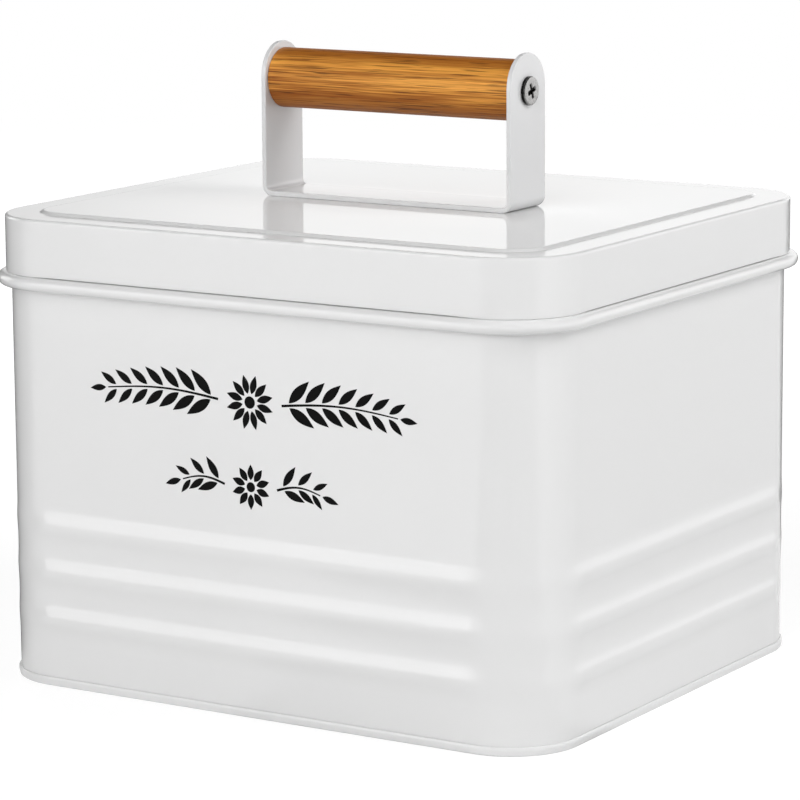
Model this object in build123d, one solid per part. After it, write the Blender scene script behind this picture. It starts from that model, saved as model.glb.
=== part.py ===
from build123d import *
import math
import os

# A square-shouldered sheet-steel tin for laundry pods, with a lift-off lid and a wooden grip.
# Millimetres. X runs along the front, Y to the back and Z up.
# The origin is on the ground, under the middle of the tin.

# The tin, over the flat faces of its wall
tin_width = 200.0
tin_depth = 175.0
corner_radius = 22.0
shoulder_height = 130.2
sheet = 0.6

# The bead that the lid stands on, and the neck inside the lid
bead_height = 4.2
bead_reach = 4.4
bead_root_radius = 0.8
bead_crook_radius = 0.4
neck_height = 13.8
neck_hem_height = 4.0
hem_round = 0.25

# The ribs pressed out of each face, from the lowest up
rib_count = 3
rib_pitch = 15.0
rib_lowest = 21.3
rib_width = 14.5
rib_rise = 1.2
rib_crest_share = 0.3
rib_end_gap = 0.5

# The lap where the wall's two ends meet, down the middle of the back
lap_width = 9.0
lap_rib_gap = 5.0

# The bottom: a pan whose rim is folded round the lower edge of the wall
base_recess = 2.6
base_rim_height = 3.4
seam_gap = 0.05
base_fold_radius = 0.5

# The lid
lid_height = 18.0
lid_slip = 0.5
lid_edge_radius = 1.0
lid_hem_height = 3.0
panel_inset = 10.9
panel_corner_radius = 12.5
panel_rise = 0.8
panel_run = 1.2
panel_edge_radius = 1.2

# The handle: a strap bent to a U, a turned grip and two low pan-head screws.
# The rounds of the ears are centred a little above the screws.
strap_span = 92.2
strap_width = 21.5
strap_thickness = 1.6
strap_bend_radius = 1.8
grip_axis_height = 37.2
ear_round_rise = 1.0
grip_diameter = 19.2
grip_chamfer = 0.5
screw_diameter = 4.0
screw_length = 20.0
screw_hole_clearance = 0.15
thread_clearance = 0.05
pilot_extra_depth = 1.0
screw_head_diameter = 9.0
screw_head_height = 1.4
screw_head_round = 0.4
recess_span = 5.0
recess_slot = 1.2
recess_depth = 1.0
recess_turn = 20.0

# How far a cut runs past the face that it opens
overrun = 1.0

# Heights and offsets that follow from these
bead_bottom = shoulder_height - bead_height
neck_top = shoulder_height + neck_height
lid_overhang = lid_slip + 2 * sheet
lid_top = shoulder_height + lid_height
panel_top = lid_top + panel_rise
grip_axis = panel_top + grip_axis_height
ear_radius = strap_width / 2
ear_round_centre = grip_axis + ear_round_rise
strap_inside = strap_span / 2 - strap_thickness

UP = Vector(0, 0, 1)


def block(near, far, low, high):
    """A flat rectangle in a section, from near to far outward and from low to high."""
    return Pos((near + far) / 2, (low + high) / 2) * Rectangle(far - near, high - low)


def plan(offset):
    """The tin's rounded rectangle, grown outward all round."""
    return RectangleRounded(tin_width + 2 * offset, tin_depth + 2 * offset, corner_radius + offset)


def slab(offset, low, high):
    """An upright prism on the grown plan."""
    return extrude(Pos(0, 0, low) * plan(offset), high - low)


def wrapped(section):
    """A section, drawn outward and up, carried all round the tin's plan."""
    path = plan(0).wire()
    outward = (path % 0).cross(UP)
    start = Plane(origin=path @ 0, x_dir=outward, z_dir=outward.cross(UP))
    return sweep(start * section, path=path)


def corner_points(sketch, places):
    """The corner points of a sketch that lie at the given places."""
    reach = sheet / 4
    return [v for v in sketch.vertices() if any((Vector(v) - Vector(*p)).length < reach for p in places)]


def wall_section():
    """The sheet from its lower edge, out and back for the bead, up the neck and in for the hem."""
    nose = bead_height / 2
    nose_centre = (bead_reach - nose, bead_bottom + nose)
    bead_out = block(-sheet, nose_centre[0], bead_bottom, shoulder_height) + Pos(*nose_centre) * Circle(nose)
    bead_in = block(-sheet - overrun, nose_centre[0], bead_bottom + sheet, shoulder_height - sheet)
    bead_in += Pos(*nose_centre) * Circle(nose - sheet)
    section = block(-sheet, 0, sheet, neck_top) + bead_out - bead_in
    section += block(-2 * sheet, -sheet, neck_top - neck_hem_height, neck_top)
    section = fillet(corner_points(section, [(0, bead_bottom)]), bead_root_radius)
    section = fillet(corner_points(section, [(0, shoulder_height)]), bead_crook_radius)
    section = fillet(corner_points(section, [(-sheet, bead_bottom + sheet)]), bead_root_radius + sheet)
    section = fillet(corner_points(section, [(-sheet, shoulder_height - sheet)]), bead_crook_radius + sheet)
    return fillet(corner_points(section, [(0, neck_top), (-2 * sheet, neck_top)]), hem_round)


def rib_stamp(length, grow):
    """One rib with round ends, lying along X and rising in Z, its skin moved outward by grow.

    Its side is a crest arc and a foot arc that meet at one slope, so it leaves the face without an edge.
    """
    half = rib_width / 2
    slope = 2 * math.atan(rib_rise / half)
    both = half / math.sin(slope)
    crest = both * rib_crest_share
    foot = both - crest
    degrees = math.degrees(slope)
    crest_arc = CenterArc((0, rib_rise - crest), crest + grow, 90 - degrees, degrees)
    foot_arc = CenterArc((half, foot), foot - grow, 270 - degrees, degrees)
    low = grow - sheet / 2
    side = Polyline((half, grow), (half, low), (0, low), (0, rib_rise + grow))
    half_section = Plane.YZ * make_face(crest_arc + foot_arc + side)
    run = length - rib_width
    body = extrude(Pos(-run / 2, 0, 0) * half_section, run, dir=(1, 0, 0))
    end = revolve(half_section, Axis.Z, 180)
    stamp = body + mirror(body, about=Plane.XZ)
    return stamp + Pos(-run / 2, 0, 0) * end + Pos(run / 2, 0, 0) * Rot(0, 0, 180) * end


def rib_places():
    """Where each rib lies: its plane on the wall's outer face, and its length."""
    across = tin_width - 2 * corner_radius - 2 * rib_end_gap
    along = tin_depth - 2 * corner_radius - 2 * rib_end_gap
    beside_lap = across / 2 - lap_width / 2 - lap_rib_gap
    beside_centre = across / 2 - beside_lap / 2
    places = []
    for row in range(rib_count):
        height = rib_lowest + row * rib_pitch
        places += [
            (Plane((0, -tin_depth / 2, height), (1, 0, 0), (0, -1, 0)), across),
            (Plane((tin_width / 2, 0, height), (0, 1, 0), (1, 0, 0)), along),
            (Plane((-tin_width / 2, 0, height), (0, -1, 0), (-1, 0, 0)), along),
            (Plane((beside_centre, tin_depth / 2, height), (-1, 0, 0), (0, 1, 0)), beside_lap),
            (Plane((-beside_centre, tin_depth / 2, height), (-1, 0, 0), (0, 1, 0)), beside_lap),
        ]
    return places


def make_tin_wall():
    """The wrapped wall with its bead, neck, pressed ribs and back lap."""
    wall = wrapped(wall_section())
    lap_low = base_rim_height + seam_gap
    lap_high = bead_bottom
    lap = Box(lap_width, sheet, lap_high - lap_low)
    wall += Pos(0, (tin_depth + sheet) / 2, (lap_low + lap_high) / 2) * lap
    places = rib_places()
    outer = {length: rib_stamp(length, 0) for place, length in places}
    inner = {length: rib_stamp(length, -sheet) for place, length in places}
    wall += [place * outer[length] for place, length in places]
    wall -= [place * inner[length] for place, length in places]
    return wall


def make_base_panel():
    """The bottom pan: a recessed floor, a leg inside the wall, a fold under it and a leg outside."""
    inside = -sheet - seam_gap
    outside = seam_gap + sheet
    rim = block(inside - sheet, outside, 0, sheet)
    rim += block(inside - sheet, inside, 0, base_recess + sheet)
    rim += block(seam_gap, outside, 0, base_rim_height)
    rim = fillet(corner_points(rim, [(outside, 0), (inside - sheet, 0)]), base_fold_radius)
    rim = fillet(corner_points(rim, [(outside, base_rim_height)]), hem_round)
    return wrapped(rim) + slab(inside - sheet / 2, base_recess, base_recess + sheet)


def raised_panel(drop, shift):
    """The low step in the lid's top, moved down by drop and in by shift for its underside."""
    foot_inset = panel_inset + shift
    width = tin_width + 2 * (lid_overhang - foot_inset)
    depth = tin_depth + 2 * (lid_overhang - foot_inset)
    base = RectangleRounded(width, depth, panel_corner_radius - shift)
    taper = math.degrees(math.atan(panel_run / panel_rise))
    low = lid_top - drop
    step = extrude(Pos(0, 0, low) * base, panel_rise, taper=taper)
    step = fillet(step.faces().sort_by(Axis.Z)[-1].edges(), panel_edge_radius - drop / 2)
    return step + extrude(Pos(0, 0, low - sheet / 2) * base, sheet / 2)


def make_lid():
    """The drawn lid: a raised panel on top, a plain skirt and a hem turned up inside it."""
    outer = slab(lid_overhang, shoulder_height, lid_top)
    outer = fillet(outer.faces().sort_by(Axis.Z)[-1].edges(), lid_edge_radius)
    outer = fillet(outer.faces().sort_by(Axis.Z)[0].edges(), hem_round)
    hem_top = shoulder_height + lid_hem_height
    cavity = slab(lid_overhang - sheet, hem_top, lid_top - sheet)
    cavity = fillet(cavity.faces().sort_by(Axis.Z)[-1].edges(), lid_edge_radius - sheet)
    mouth = slab(lid_slip, shoulder_height - overrun, hem_top + sheet / 2)
    slope = math.atan(panel_rise / panel_run)
    under_step = raised_panel(sheet, sheet * math.tan(slope / 2))
    return outer + raised_panel(0, 0) - cavity - mouth - under_step


def make_handle_bracket():
    """The strap: a U bent up at both ends into round-topped ears with a hole for each screw."""
    half = strap_span / 2
    ear_top = ear_round_centre + ear_radius
    outside = block(-half, half, panel_top, ear_top)
    outside = fillet(outside.vertices().sort_by(Axis.Y)[:2], strap_bend_radius + strap_thickness)
    inside = block(-strap_inside, strap_inside, panel_top + strap_thickness, ear_top + overrun)
    inside = fillet(inside.vertices().sort_by(Axis.Y)[:2], strap_bend_radius)
    bent = extrude(Plane.XZ * (outside - inside), ear_radius, both=True)
    ear = block(-ear_radius, ear_radius, panel_top, ear_round_centre)
    ear += Pos(0, ear_round_centre) * Circle(ear_radius)
    ears = extrude(Plane.YZ * ear, half, both=True)
    hole = Cylinder(screw_diameter / 2 + screw_hole_clearance, strap_span + 2 * overrun)
    return (bent & ears) - Pos(0, 0, grip_axis) * Rot(0, 90, 0) * hole


def make_handle_grip():
    """The turned grip, held between the ears, with a pilot hole in each end."""
    grip = Cylinder(grip_diameter / 2, 2 * strap_inside)
    grip = chamfer(grip.edges(), grip_chamfer)
    depth = screw_length - strap_thickness + pilot_extra_depth
    pilot = Cylinder(screw_diameter / 2 + thread_clearance, 2 * depth)
    for end in (-1, 1):
        grip -= Pos(0, 0, end * strap_inside) * pilot
    return Pos(0, 0, grip_axis) * Rot(0, 90, 0) * grip


def make_handle_screw(side):
    """A pan-head cross-recess screw through one ear into the grip; side is -1 left or 1 right."""
    head = Cylinder(screw_head_diameter / 2, screw_head_height, align=(Align.CENTER, Align.CENTER, Align.MIN))
    head = fillet(head.edges().sort_by(Axis.Z)[-1], screw_head_round)
    shank = Cylinder(screw_diameter / 2, screw_length, align=(Align.CENTER, Align.CENTER, Align.MAX))
    cross = Rectangle(recess_span, recess_slot) + Rectangle(recess_slot, recess_span)
    recess = extrude(Pos(0, 0, screw_head_height - recess_depth) * cross, recess_depth + overrun)
    recess = Rot(0, 0, recess_turn) * recess
    screw = head + shank - recess
    return Pos(side * strap_span / 2, 0, grip_axis) * Rot(0, side * 90, 0) * screw


def main():
    os.makedirs("parts", exist_ok=True)
    pieces = {
        "tin_wall": make_tin_wall(),
        "base_panel": make_base_panel(),
        "lid": make_lid(),
        "handle_bracket": make_handle_bracket(),
        "handle_grip": make_handle_grip(),
        "handle_screw_left": make_handle_screw(-1),
        "handle_screw_right": make_handle_screw(1),
    }
    for name, piece in pieces.items():
        export_step(piece, f"parts/{name}.step")


main()
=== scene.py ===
"""The looks of a white enamelled tin with a wooden lid handle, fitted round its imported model."""

import math
from functools import partialmethod

import bmesh
import bpy
from bpy.props import FloatProperty, FloatVectorProperty, IntProperty, PointerProperty
from mathutils import Matrix, Vector


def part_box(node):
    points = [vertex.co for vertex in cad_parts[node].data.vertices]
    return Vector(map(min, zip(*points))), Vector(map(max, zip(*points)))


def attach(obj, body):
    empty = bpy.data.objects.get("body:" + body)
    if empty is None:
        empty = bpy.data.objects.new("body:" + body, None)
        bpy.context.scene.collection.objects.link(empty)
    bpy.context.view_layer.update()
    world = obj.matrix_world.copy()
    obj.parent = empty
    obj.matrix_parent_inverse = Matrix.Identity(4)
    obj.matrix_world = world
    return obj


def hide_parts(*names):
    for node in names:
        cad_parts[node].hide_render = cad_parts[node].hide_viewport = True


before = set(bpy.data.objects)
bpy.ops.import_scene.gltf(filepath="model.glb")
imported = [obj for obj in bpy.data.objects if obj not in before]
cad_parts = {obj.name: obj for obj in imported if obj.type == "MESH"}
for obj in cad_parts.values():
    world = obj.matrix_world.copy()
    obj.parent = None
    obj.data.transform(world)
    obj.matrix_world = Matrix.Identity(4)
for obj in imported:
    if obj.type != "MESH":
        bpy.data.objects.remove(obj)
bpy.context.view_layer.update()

bl_info = {
    "name": "Enamelled Storage Tin",
    "version": (1, 0, 0),
    "blender": (4, 5, 0),
    "location": "View3D > Sidebar > Tin",
    "description": "Builds a pressed sheet-steel tin, its lift-off lid and its wooden bar handle",
    "category": "Add Mesh",
}

_, wall_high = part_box("tin_wall")
_, base_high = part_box("base_panel")
lid_low, lid_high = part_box("lid")
strap_low, strap_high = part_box("handle_bracket")
grip_low, grip_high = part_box("handle_grip")
screw_low, screw_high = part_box("handle_screw_right")

# One millimetre, in the metres that the model is in
MM = 0.001

# Points nearer to each other than this are welded
WELD = MM / 100

# A point nearer than this to an axis or a face lies on it
ON_AXIS = MM / 1000

# Thickness of the steel, and the room in the seam between the wall and the base
SHEET = 0.6 * MM
SEAM = 0.05 * MM

# Rounding of a hem or a cut edge, as a part of the sheet's thickness
EDGE_ROUND = 0.4

TIN_WIDTH = 2 * (base_high.x - SHEET - SEAM)
TIN_DEPTH = 2 * (base_high.y - SHEET - SEAM)
GRIP_AXIS = (grip_low.z + grip_high.z) / 2
MIDDLE = Vector((0, 0, lid_high.z / 2))

WHITE = (1, 1, 1, 1)

# Nearly all values of a noise texture lie between these
NOISE_SPAN = (0.3, 0.7)

# Half the width of the floor
FLOOR_REACH = 6.0

# Distances out on the floor over which it comes up to white, loses its lit part and lifts behind the tin
GLOW_RISE = (0.15, 0.7)
SHADE_FADE = (0.4, 1.6)
LIFT_RISE = (0.8, 2.2)

# Sectors that the gloss reflects: degrees from the front, and the cosines where each starts and is whole
LEFT_FLOOR = (-105, 0.55, 0.80)
NEAR_FLOOR = (30, 0.75, 0.85)
RIGHT_FLOOR = (190, 0.86, 0.94)
BACK_FLOOR = (148, 0.88, 0.96)
LEFT_LIGHT = (-95, 0.6, 0.8)
NEAR_LIGHT = (40, 0.75, 0.9)

# Degrees above level over which the low light ends
LOW_LIGHT = (16, 26)

# Name, brightness setting, degrees round from the front and up, distance, width and height
SOFTBOXES = (
    ("Front softbox", "front_light", 11, 24, 1.6, 0.9, 0.8),
    ("Side softbox", "side_light", 106, 40, 1.5, 0.9, 0.8),
    ("Top softbox", "top_light", 0, 52, 1.5, 0.9, 0.6),
    ("Rear softbox", "rear_light", -125, 14, 1.6, 0.7, 0.8),
)

# Name, brightness setting, degrees round from the front, and the height where a card is at its brightest
CARDS = (
    ("Front card", "front_card", -33, 0.12),
    ("Back card", "back_card", 148, 0.02),
    ("Left card", "left_card", -95, 0.12),
)
CARD_DISTANCE = 2.4
CARD_WIDTH = 1.1
CARD_HEIGHT = 1.4


def setting(name, description, default, **kind):
    """A number that a user can change."""
    return FloatProperty(name=name, description=description, default=default, **kind)


def length(name, description, default):
    """A length, in metres."""
    return setting(name, description, default, unit="LENGTH", precision=4)


def share(name, description, default):
    """A part of a whole, from none to all of it."""
    return setting(name, description, default, min=0, max=1, subtype="FACTOR")


def angle(name, description, degrees):
    """An angle, shown in degrees."""
    return setting(name, description, math.radians(degrees), subtype="ANGLE")


def colour(name, description, default):
    """A surface colour, in linear light."""
    return FloatVectorProperty(
        name=name, description=description, default=default, size=3, min=0, max=1, subtype="COLOR"
    )


class TinSizes(bpy.types.PropertyGroup):
    """Sizes of the wall, its ribs and its bottom"""

    width: length("Width", "Over the flat sides of the wall", TIN_WIDTH)
    depth: length("Depth", "Over the flat front and back of the wall", TIN_DEPTH)
    corner_radius: length("Corner radius", "Upright corners of the wall", 22 * MM)
    sheet: length("Sheet", "Thickness of the steel", SHEET)
    shoulder: length("Shoulder", "Height of the bead that the lid stands on", lid_low.z)
    bead_height: length("Bead height", "From the underside of the bead to the shoulder", 4.2 * MM)
    bead_root: length("Bead root", "Radius where the bead leaves the wall", 0.8 * MM)
    bead_crook: length("Bead crook", "Radius where the bead meets the neck", 0.4 * MM)
    neck_hem: length("Neck hem", "Depth of the hem turned in at the rim", 4 * MM)
    rib_count: IntProperty(name="Ribs", description="Ribs on each face", default=3, min=0, max=6)
    rib_pitch: length("Rib pitch", "From one rib to the next", 15 * MM)
    rib_lowest: length("Lowest rib", "Height of the middle of the lowest rib", 21.3 * MM)
    rib_width: length("Rib width", "From foot to foot", 14.5 * MM)
    rib_rise: length("Rib rise", "How far a crest stands out", 1.2 * MM)
    rib_crest: share("Rib crest", "Part of the half width that turns outward", 0.3)
    rib_corner: share("Rib at corners", "Part of the rise that runs on round a corner", 0.16)
    rib_end: length("Rib end", "Length over which a rib fades at a corner", 8 * MM)
    lap_width: length("Lap width", "Where the two ends of the sheet meet at the back", 9 * MM)
    lap_clear: length("Lap clearance", "Flat left beside the lap", 4 * MM)
    base_recess: length("Base recess", "Height of the pan's underside", 2.6 * MM)
    base_rim: length("Base rim", "Height of the fold round the wall", base_high.z)


class LidSizes(bpy.types.PropertyGroup):
    """Sizes of the lid"""

    edge_radius: length("Edge radius", "Round the top edge", 1 * MM)
    top: length("Top", "Height of the border round the raised panel", lid_high.z - 0.8 * MM)
    hem: length("Hem", "Height of the hem turned up inside the skirt", 3 * MM)
    panel_inset: length("Panel inset", "From the lid's edge to the foot of the step", 10.9 * MM)
    panel_run: length("Step run", "Width of the sloping step", 1.2 * MM)
    panel_round: length("Step round", "Radius at the top of the step", 1.2 * MM)
    skirt_lift: length("Skirt lift", "How far the skirt stands off the bead along the flats", 0.15 * MM)


class HandleSizes(bpy.types.PropertyGroup):
    """Sizes of the strap, the grip and the screws"""

    strap: length("Strap", "Thickness of the bent strap", 1.6 * MM)
    bend: length("Bend", "Inside radius of each bend", 1.8 * MM)
    strap_edge: length("Strap edge", "Softening of the strap's edges under the paint", 0.28 * MM)
    screw_bore: length("Screw bore", "Diameter of the hole in each ear", 4.3 * MM)
    grip_edge: length("Grip edge", "Rounding at the ends of the grip", 0.5 * MM)
    pilot: length("Pilot hole", "Diameter of the hole in each end of the grip", 4.1 * MM)
    pilot_depth: length("Pilot depth", "Depth of the hole in each end of the grip", 19.4 * MM)
    head: length("Screw head", "Diameter of the pan head", 9 * MM)
    head_height: length("Head height", "Height of the pan head", 1.4 * MM)
    head_round: length("Head round", "Rounding at the edge of the head", 0.4 * MM)
    shank: length("Shank", "Diameter of the screw", 4 * MM)
    recess_span: length("Recess span", "From end to end of the cross", 5 * MM)
    recess_slot: length("Recess slot", "Width of each arm of the cross", 1.3 * MM)
    recess_depth: length("Recess depth", "Depth at the middle of the cross", 1.3 * MM)
    recess_turn: angle("Recess turn", "Turn of the cross, as the screw was left", 20)


class PrintSizes(bpy.types.PropertyGroup):
    """Sizes of the ornament on the front"""

    ink: length("Ink", "How far the ink stands off the enamel", 0.02 * MM)
    upper_row: length("Upper row", "Height of the upper row", 98 * MM)
    lower_row: length("Lower row", "Height of the lower row", 72 * MM)
    upper_rosette: length("Upper rosette", "Radius of the upper rosette", 8.6 * MM)
    lower_rosette: length("Lower rosette", "Radius of the lower rosette", 7 * MM)
    upper_start: length("Upper foot", "From the middle to the foot of an upper stem", 11.5 * MM)
    upper_end: length("Upper tip", "From the middle to the end of an upper stem", 52.5 * MM)
    lower_start: length("Lower foot", "From the middle to the foot of a lower stem", 9.5 * MM)
    lower_end: length("Lower tip", "From the middle to the end of a lower stem", 25 * MM)
    bow: length("Bow", "Rise of a stem in its middle", 1.6 * MM)
    stem: length("Stem", "Thickness of a stem at its foot", 0.8 * MM)
    leaf: length("Leaf", "Length of the first leaves of an upper sprig", 10.5 * MM)
    leaf_width: length("Leaf width", "Width of the first leaves", 3.4 * MM)
    tip: length("Tip leaf", "Length of the leaf at the tip", 6 * MM)
    lean: angle("Lean", "Between a leaf and its stem", 38)


class Finishes(bpy.types.PropertyGroup):
    """Colours and gloss of the surfaces"""

    enamel: colour("Enamel", "White stove enamel", (0.79, 0.79, 0.79))
    # The white enamel made darker and a touch cooler for the strap; the darkening is painted shade
    strap_shaded_enamel: colour("Strap paint", "Paint of the handle strap", (0.72, 0.72, 0.725))
    enamel_roughness: share("Enamel roughness", "Low is glossy", 0.05)
    wood_light: colour("Wood, light", "Early wood of the grip", (0.86, 0.39, 0.068))
    wood_dark: colour("Wood, dark", "Late wood of the grip", (0.29, 0.078, 0.009))
    wood_pore: colour("Wood, pores", "Pores and fine dark lines", (0.07, 0.018, 0.004))
    # Painted shade: how much darker the grip's top and underside are made
    wood_painted_shade: share("Wood painted shade", "How much darker the top and the underside are", 0.75)
    steel: colour("Screw steel", "Plated steel of the screws", (0.42, 0.415, 0.41))
    ink: colour("Print", "Printed ornament", (0.004, 0.004, 0.004))


class StudioSettings(bpy.types.PropertyGroup):
    """Camera and light"""

    azimuth: angle("Azimuth", "Camera to the right of the front", 31.92)
    elevation: angle("Elevation", "Camera above level", 10.57)
    roll: angle("Roll", "Turn about the line of sight", -0.362)
    distance: length("Distance", "From the camera to what it aims at", 1215.3 * MM)
    aim_side: length("Aim, side", "Sideways place of what the camera aims at", -1.28 * MM)
    aim_height: length("Aim, height", "Height of what the camera aims at", 84.5 * MM)
    lens: setting("Lens", "Focal length in millimetres", 170.58)
    horizon_light: setting("Horizon", "Light from low, behind and round the sides", 1.6)
    dim_light: setting("Dim", "Light from low on the left and behind the camera", 0.1)
    front_light: setting("Front", "Brightness of the front softbox", 4.5)
    side_light: setting("Side", "Brightness of the right-hand softbox", 4.6)
    top_light: setting("Top", "Brightness of the softbox over the front", 2.7)
    rear_light: setting("Rear", "Brightness of the softbox behind, on the left", 4.8)
    front_card: setting("Front card", "Brightness of the card that the front reflects", 3.1)
    back_card: setting("Back card", "Brightness of the card that the right side reflects", 1.7)
    left_card: setting("Left card", "Brightness of the card that the left side reflects", 2.2)
    floor_glow: share("Floor glow", "Part of the floor's white that doesn't depend on light", 0.84)
    floor_gain: setting("Floor gain", "Brings the lit part of the floor up to white", 1.6)
    edge_dim: share("Edge dim", "How dim the floor behind is in the reflection at the right edge", 1.0)
    floor_colour: colour("Floor", "Pale floor and background", (0.9, 0.9, 0.9))


GROUPS = {
    "tin_sizes": TinSizes,
    "tin_lid": LidSizes,
    "tin_handle": HandleSizes,
    "tin_print": PrintSizes,
    "tin_finishes": Finishes,
    "tin_studio": StudioSettings,
}


class NodeMaker:
    """Adds nodes to a tree, one call for each, and links what it is given."""

    def __init__(self, tree):
        self.tree = tree

    def node(self, kind, inputs=None, **settings):
        """A node with its settings, and its inputs linked or set by name or number."""
        made = self.tree.nodes.new(kind)
        for name, value in settings.items():
            setattr(made, name, value)
        for name, value in (inputs or {}).items():
            self.feed(value, made.inputs[name])
        return made

    def feed(self, value, socket):
        """Links a socket to another's value, or sets it."""
        if isinstance(value, bpy.types.NodeSocket):
            self.tree.links.new(value, socket)
        else:
            socket.default_value = value

    def result(self, kind, inputs=None, **settings):
        """What a new node puts out first."""
        return self.node(kind, inputs, **settings).outputs[0]

    def math(self, operation, *values, clamp=False):
        """The result of one operation on numbers."""
        inputs = dict(enumerate(values))
        return self.result("ShaderNodeMath", inputs, operation=operation, use_clamp=clamp)

    def chain(self, operation, first, *others):
        """The result of an operation with each of the other numbers in turn."""
        for other in others:
            first = self.math(operation, first, other)
        return first

    plus = partialmethod(chain, "ADD")
    minus = partialmethod(chain, "SUBTRACT")
    times = partialmethod(chain, "MULTIPLY")
    over = partialmethod(chain, "DIVIDE")
    most = partialmethod(chain, "MAXIMUM")
    least = partialmethod(chain, "MINIMUM")

    def ramp(self, value, start, end, low=0.0, high=1.0, smooth=True):
        """A value mapped from one range to another, held at both ends."""
        inputs = {"Value": value, "From Min": start, "From Max": end, "To Min": low, "To Max": high}
        shape = "SMOOTHSTEP" if smooth else "LINEAR"
        return self.result("ShaderNodeMapRange", inputs, interpolation_type=shape)

    def vector(self, operation, *values):
        """The result of one operation on vectors."""
        return self.result("ShaderNodeVectorMath", dict(enumerate(values)), operation=operation)

    def axes(self, vector):
        """A vector's three numbers."""
        return self.node("ShaderNodeSeparateXYZ", {0: vector}).outputs

    def combined(self, x=0, y=0, z=0):
        """A vector of three numbers."""
        return self.result("ShaderNodeCombineXYZ", {0: x, 1: y, 2: z})

    def noise(self, place, scale, detail):
        """Noise about the middle between nought and one."""
        return self.result("ShaderNodeTexNoise", {"Vector": place, "Scale": scale, "Detail": detail})

    def spread(self, noise, low, high):
        """Noise drawn out to run from low to high."""
        return self.ramp(noise, *NOISE_SPAN, low, high)

    def mixed(self, part, first, second, **settings):
        """Two colours mixed, with the part that the second has."""
        inputs = {0: part}
        for place, colour in ((6, first), (7, second)):
            inputs[place] = colour if isinstance(colour, bpy.types.NodeSocket) else (*colour, 1)
        return self.node("ShaderNodeMix", inputs, data_type="RGBA", **settings).outputs[2]

    def shaded(self, colour, shade):
        """A colour made darker by a shade that changes over the surface."""
        return self.mixed(1.0, colour, shade, blend_type="MULTIPLY")

    def bump(self, height, strength, distance):
        """The normal of a surface with a relief."""
        return self.result("ShaderNodeBump", {"Strength": strength, "Distance": distance, "Height": height})

    def surface(self, shader):
        """Ends a material with its shader."""
        self.node("ShaderNodeOutputMaterial", {"Surface": shader})

    def coat(self, **inputs):
        """Ends a material with a principled shader, whose inputs are given by name."""
        named = {name.replace("_", " "): value for name, value in inputs.items()}
        self.surface(self.result("ShaderNodeBsdfPrincipled", named))

    def end_geometry(self, geometry, material, socket):
        """Ends a geometry tree with real faces and their material."""
        real = self.result("GeometryNodeRealizeInstances", {"Geometry": geometry})
        coated = self.result("GeometryNodeSetMaterial", {"Geometry": real, "Material": material})
        self.feed(coated, socket)


def cleared(owner):
    """The maker of a material's or world's nodes, with none there yet."""
    owner.use_nodes = True
    owner.node_tree.nodes.clear()
    return NodeMaker(owner.node_tree)


def node_group(name, kind, inputs, outputs):
    """A node tree, its maker and its sockets, from each one's kind or an input's default number."""
    tree = bpy.data.node_groups.new(name, kind)
    for label, value in inputs.items():
        socket = value if isinstance(value, str) else "Float"
        made = tree.interface.new_socket(label, in_out="INPUT", socket_type="NodeSocket" + socket)
        if socket == "Float":
            made.default_value = value
    for label, socket in outputs.items():
        tree.interface.new_socket(label, in_out="OUTPUT", socket_type="NodeSocket" + socket)
    maker = NodeMaker(tree)
    return tree, maker, maker.node("NodeGroupInput").outputs, maker.node("NodeGroupOutput").inputs


def set_inputs(modifier, values):
    """Sets a node modifier's inputs by the names of its tree's sockets."""
    items = modifier.node_group.interface.items_tree
    sockets = {item.name: item.identifier for item in items if item.in_out == "INPUT"}
    for name, value in values.items():
        modifier[sockets[name]] = value


def linked(name, data):
    """A new object in the scene."""
    made = bpy.data.objects.new(name, data)
    bpy.context.scene.collection.objects.link(made)
    return made


def applied(carrier, name):
    """The mesh that an object's modifiers make, once the object is gone."""
    source = carrier.data
    evaluated = carrier.evaluated_get(bpy.context.evaluated_depsgraph_get())
    mesh = bpy.data.meshes.new_from_object(evaluated)
    mesh.name = name
    bpy.data.objects.remove(carrier)
    bpy.data.meshes.remove(source)
    return mesh


def baked(source, name, tree, values):
    """The plain mesh that a node tree makes of a source mesh."""
    carrier = linked(name + "_source", source)
    modifier = carrier.modifiers.new(tree.name, "NODES")
    modifier.node_group = tree
    set_inputs(modifier, values)
    return applied(carrier, name)


def placed(name, mesh, body, nodes=()):
    """Puts a finished mesh in the scene on its body, in place of the given nodes."""
    piece = linked(name, mesh)
    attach(piece, body)
    if nodes:
        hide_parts(*nodes)


def finished(name, mesh, modifiers):
    """A mesh with the given modifiers applied."""
    carrier = linked(name + "_source", mesh)
    for kind, settings in modifiers:
        modifier = carrier.modifiers.new(kind.title(), kind)
        for label, value in settings.items():
            setattr(modifier, label, value)
    return applied(carrier, name)


def outward_mesh(work, mesh):
    """Ends the work on a mesh, with its faces smooth and turned outwards."""
    bmesh.ops.recalc_face_normals(work, faces=work.faces)
    for face in work.faces:
        face.smooth = True
    work.to_mesh(mesh)
    work.free()
    return mesh


def shell_mesh(mesh):
    """Closes a mesh's open loops, welds it and turns its faces outwards."""
    work = bmesh.new()
    work.from_mesh(mesh)
    bmesh.ops.remove_doubles(work, verts=work.verts, dist=WELD)
    open_edges = [edge for edge in work.edges if edge.is_boundary]
    bmesh.ops.holes_fill(work, edges=open_edges)
    return outward_mesh(work, mesh)


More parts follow.
